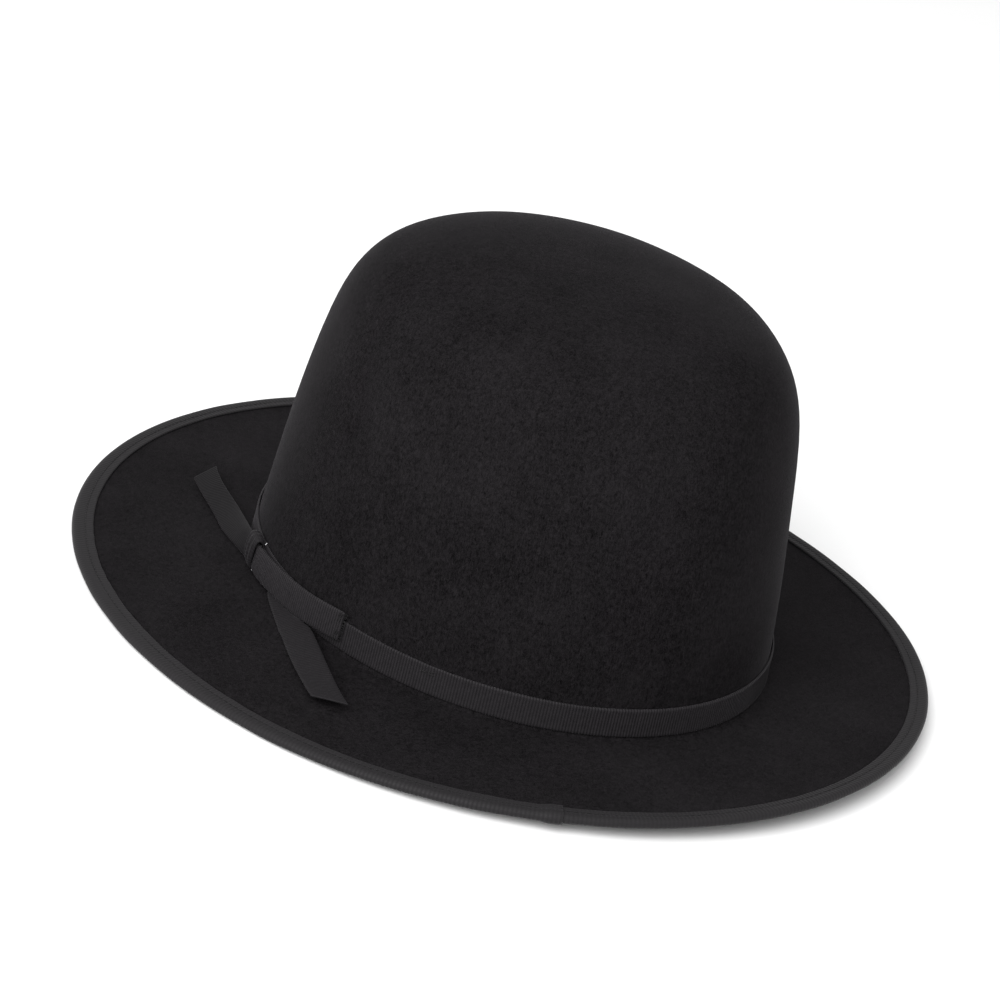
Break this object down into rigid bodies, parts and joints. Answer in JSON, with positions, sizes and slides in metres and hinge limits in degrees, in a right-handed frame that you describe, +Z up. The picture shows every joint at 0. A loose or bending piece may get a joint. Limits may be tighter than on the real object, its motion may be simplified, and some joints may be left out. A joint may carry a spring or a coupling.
{
  "type": "round-crowned felt hat",
  "caption": "Round open-crown felt hat with a wide ribbon-bound brim, a narrow grosgrain band and a flat side bow, lined and fitted with a sweatband.",
  "frame": {"origin": "on the surface the hat stands on, under the middle of the brim's outline", "axes": "+X the wearer's left, +Y the back of the hat, -Y the front, +Z up out of the crown"},
  "size_m": [0.306, 0.33, 0.1409],
  "materials": {
    "felt": "smooth shaved black felt with a short nap and a soft rim sheen",
    "binding_ribbon": "black grosgrain binding, faintly ribbed and slightly lustrous",
    "band_ribbon": "black grosgrain ribbon with fine ribs across it",
    "thread": "black sewing thread",
    "wire": "plain drawn steel millinery wire and its crimped sleeve",
    "reed": "translucent off-white plastic reed",
    "reed_tape": "black cotton tape folded over the reed",
    "sweat_leather": "thin dark brown-black sweatband leather, satin",
    "satin": "black lining satin",
    "tag": "blank woven size tag, off-white"
  },
  "bodies": {
    "hat": {"felt_body": "felt", "brim_wire": "wire", "brim_wire_sleeve": "wire", "brim_binding": "binding_ribbon", "binding_stitch": "thread", "hat_band": "band_ribbon", "band_tack": "thread", "bow_loop": "band_ribbon", "loop_tack_upper": "thread", "loop_tack_lower": "thread", "bow_knot": "band_ribbon", "sweatband": "sweat_leather", "sweatband_reed": "reed", "sweatband_reed_tape": "reed_tape", "sweatband_stitch": "thread", "sweatband_seam": "sweat_leather", "sweatband_bow": "band_ribbon", "size_tag": "tag", "lining_side": "satin", "lining_tip": "satin", "lining_piping": "satin"},
    "tail_upper": {"bow_tail_upper": "band_ribbon"},
    "tail_lower": {"bow_tail_lower": "band_ribbon"}
  },
  "joints": [
    {"name": "tail_upper_lift", "type": "hinge", "parent": "hat", "child": "tail_upper", "pos_m": [0.0718, -0.0629, 0.0165], "axis": [-0.8772, 0.4801, 0], "range_deg": [0, 35], "stiffness_Nm_per_rad": 0.001},
    {"name": "tail_lower_lift", "type": "hinge", "parent": "hat", "child": "tail_lower", "pos_m": [0.0959, -0.0124, 0.0088], "axis": [0.8722, -0.4891, 0], "range_deg": [0, 35], "stiffness_Nm_per_rad": 0.001}
  ]
}
